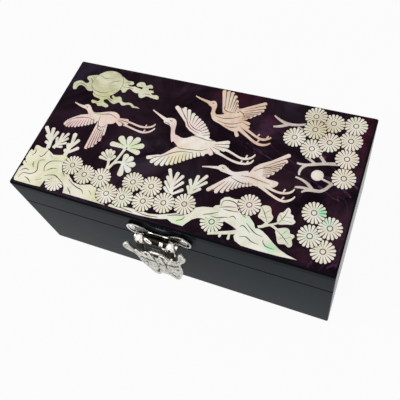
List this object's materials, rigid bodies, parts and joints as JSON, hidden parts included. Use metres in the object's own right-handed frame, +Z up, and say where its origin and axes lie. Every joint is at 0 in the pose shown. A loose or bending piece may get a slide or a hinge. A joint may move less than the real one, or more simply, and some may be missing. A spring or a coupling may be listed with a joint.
{
  "type": "jewellery box",
  "caption": "Rectangular lacquered jewellery box with a hinged lid, mother-of-pearl picture, mirror, velvet trays and a butterfly hasp latch.",
  "frame": {"origin": "centre of the box's footprint, on the underside of the base felt", "axes": "+X along the length, to the right seen from the front; +Y from the latch to the hinges; +Z up"},
  "size_m": [0.17, 0.1024, 0.069],
  "materials": {
    "black_lacquer": "glossy black lacquer on wood",
    "purple_lacquer": "glossy purple-black clouded lacquer",
    "felt": "black felt",
    "velvet": "dark red velvet",
    "mirror_glass": "silvered glass",
    "nickel": "nickel-plated, cast grain",
    "nacre_green": "mother-of-pearl, green-yellow sheen",
    "nacre_pink": "mother-of-pearl, pink-peach sheen",
    "nacre_white": "mother-of-pearl, white sheen"
  },
  "bodies": {
    "case": {"base_felt": "felt", "case_back_wall": "black_lacquer", "case_bottom_board": "black_lacquer", "case_front_wall": "black_lacquer", "case_left_wall": "black_lacquer", "case_right_wall": "black_lacquer", "cross_divider": "velvet", "hinge_left_lower_leaf": "nickel", "hinge_lower_screws": "nickel", "hinge_right_lower_leaf": "nickel", "keeper_pins": "nickel", "keeper_plate": "nickel", "keeper_stud": "nickel", "lining_back": "velvet", "lining_floor": "velvet", "lining_front": "velvet", "lining_left": "velvet", "lining_right": "velvet", "long_divider": "velvet", "ring_roll_1": "velvet", "ring_roll_2": "velvet", "ring_roll_3": "velvet", "ring_roll_4": "velvet", "ring_roll_5": "velvet", "ring_roll_6": "velvet", "short_divider": "velvet"},
    "lid": {"hinge_left_pin": "nickel", "hinge_left_upper_leaf": "nickel", "hinge_right_pin": "nickel", "hinge_right_upper_leaf": "nickel", "hinge_upper_screws": "nickel", "inlay_berry_leaves": "nacre_green", "inlay_branch": "nacre_green", "inlay_clouds": "nacre_green", "inlay_crane_back": "nacre_pink", "inlay_crane_large": "nacre_pink", "inlay_crane_left": "nacre_pink", "inlay_crane_right": "nacre_pink", "inlay_flowers_front": "nacre_white", "inlay_flowers_right": "nacre_white", "inlay_pine_leaves": "nacre_green", "inlay_sun": "nacre_green", "inlay_trunk": "nacre_green", "inlay_twigs": "nacre_white", "latch_pin": "nickel", "latch_plate": "nickel", "latch_screws": "nickel", "lid_back_rail": "black_lacquer", "lid_ceiling_lining": "velvet", "lid_front_rail": "black_lacquer", "lid_left_rail": "black_lacquer", "lid_right_rail": "black_lacquer", "lid_side_lining": "velvet", "lid_top_board": "purple_lacquer", "mirror": "mirror_glass", "mirror_frame": "nickel"},
    "hasp": {"butterfly_hasp": "nickel", "catch_clip": "nickel", "clip_rivet": "nickel"}
  },
  "joints": [
    {"name": "lid_hinge", "type": "hinge", "parent": "case", "child": "lid", "pos_m": [0, 0.0451, 0.0489], "axis": [-1, 0, 0], "range_deg": [0, 100]},
    {"name": "hasp_hinge", "type": "hinge", "parent": "lid", "child": "hasp", "pos_m": [0, -0.0469, 0.058], "axis": [-1, 0, 0], "range_deg": [0, 85]}
  ]
}
